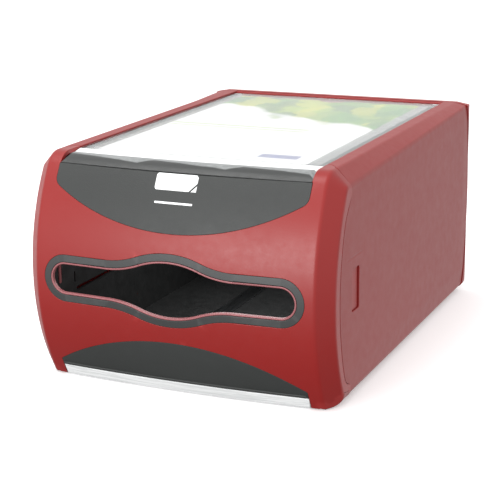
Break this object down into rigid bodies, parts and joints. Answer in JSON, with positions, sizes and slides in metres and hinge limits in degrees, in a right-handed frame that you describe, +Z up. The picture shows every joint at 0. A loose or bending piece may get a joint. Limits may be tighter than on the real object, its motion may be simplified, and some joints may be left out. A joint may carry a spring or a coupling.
{
  "type": "napkin_dispenser",
  "caption": "Red tabletop napkin dispenser: drawer-style napkin tray with a slotted bowed front, side latches, spring pusher and a clear hinged top cover over a card.",
  "frame": {"origin": "On the table plane, at the middle of the footprint.", "axes": "+X is the dispenser's right side as seen from the front. -Y is the front with the napkin slot. +Z is up."},
  "size_m": [0.204, 0.3064, 0.144],
  "materials": {
    "red_plastic": "fine-grained moulded plastic, satin",
    "dark_panel": "fine-grained moulded plastic, matt",
    "grey_plastic": "smooth moulded plastic, satin",
    "black_plastic": "moulded plastic, satin",
    "clear_plastic": "clear polished plastic",
    "card": "smooth printed card",
    "foot_rubber": "moulded rubber",
    "steel": "zinc-plated steel",
    "spring_steel": "rolled spring steel"
  },
  "bodies": {
    "housing": {"sleeve": "red_plastic", "rear_cover": "red_plastic", "base_pan": "black_plastic", "message_deck": "black_plastic", "message_card": "card", "runner_left": "grey_plastic", "runner_right": "grey_plastic", "foot_front_left": "foot_rubber", "foot_front_right": "foot_rubber", "foot_rear_left": "foot_rubber", "foot_rear_right": "foot_rubber", "base_screws": "steel", "rear_screws": "steel", "cover_pins": "steel"},
    "cover": {"display_cover": "clear_plastic"},
    "drawer": {"bezel": "red_plastic", "upper_panel": "dark_panel", "lower_panel": "dark_panel", "slot_ring": "grey_plastic", "nose_lens": "clear_plastic", "base_strip": "clear_plastic", "tray": "black_plastic", "tray_wall_left": "black_plastic", "tray_wall_right": "black_plastic", "bezel_screws": "steel", "spring_anchor": "steel", "anchor_screws": "steel", "spring_strip_left": "spring_steel", "spring_strip_right": "spring_steel", "latch_pin_left": "steel", "latch_pin_right": "steel", "latch_spring_left": "spring_steel", "latch_spring_right": "spring_steel"},
    "latch_left": {"latch_left": "red_plastic"},
    "latch_right": {"latch_right": "red_plastic"},
    "pusher": {"pusher_plate": "dark_panel", "pusher_carriage": "black_plastic", "pusher_screws": "steel", "drum_axle_left": "steel", "drum_axle_right": "steel"},
    "drum_left": {"drum_hub_left": "grey_plastic", "drum_coil_left": "spring_steel"},
    "drum_right": {"drum_hub_right": "grey_plastic", "drum_coil_right": "spring_steel"}
  },
  "joints": [
    {"name": "drawer_slide", "type": "slide", "parent": "housing", "child": "drawer", "axis": [0, -1, 0], "range_m": [0, 0.2]},
    {"name": "cover_hinge", "type": "hinge", "parent": "housing", "child": "cover", "pos_m": [0, 0.134, 0.1406], "axis": [-1, 0, 0], "range_deg": [0, 75]},
    {"name": "latch_left_press", "type": "hinge", "parent": "drawer", "child": "latch_left", "pos_m": [-0.0945, -0.086, 0.0695], "axis": [0, 0, 1], "range_deg": [0, 8], "stiffness_Nm_per_rad": 0.3, "springref_deg": -11.46, "deforming": ["latch_spring_left"]},
    {"name": "latch_right_press", "type": "hinge", "parent": "drawer", "child": "latch_right", "pos_m": [0.0945, -0.086, 0.0695], "axis": [0, 0, -1], "range_deg": [0, 8], "stiffness_Nm_per_rad": 0.3, "springref_deg": -11.46, "deforming": ["latch_spring_right"]},
    {"name": "pusher_slide", "type": "slide", "parent": "drawer", "child": "pusher", "axis": [0, -1, 0], "range_m": [0, 0.2], "deforming": ["spring_strip_left", "spring_strip_right"]},
    {"name": "drum_left_spin", "type": "hinge", "parent": "pusher", "child": "drum_left", "pos_m": [-0.03, 0.098, 0.02395], "axis": [1, 0, 0], "range_deg": [0, 945]},
    {"name": "drum_right_spin", "type": "hinge", "parent": "pusher", "child": "drum_right", "pos_m": [0.03, 0.098, 0.02395], "axis": [1, 0, 0], "range_deg": [0, 945]}
  ],
  "couplings": [
    {"joint": "drum_left_spin", "follows": "pusher_slide", "rad_per_m": 82},
    {"joint": "drum_right_spin", "follows": "pusher_slide", "rad_per_m": 82}
  ]
}
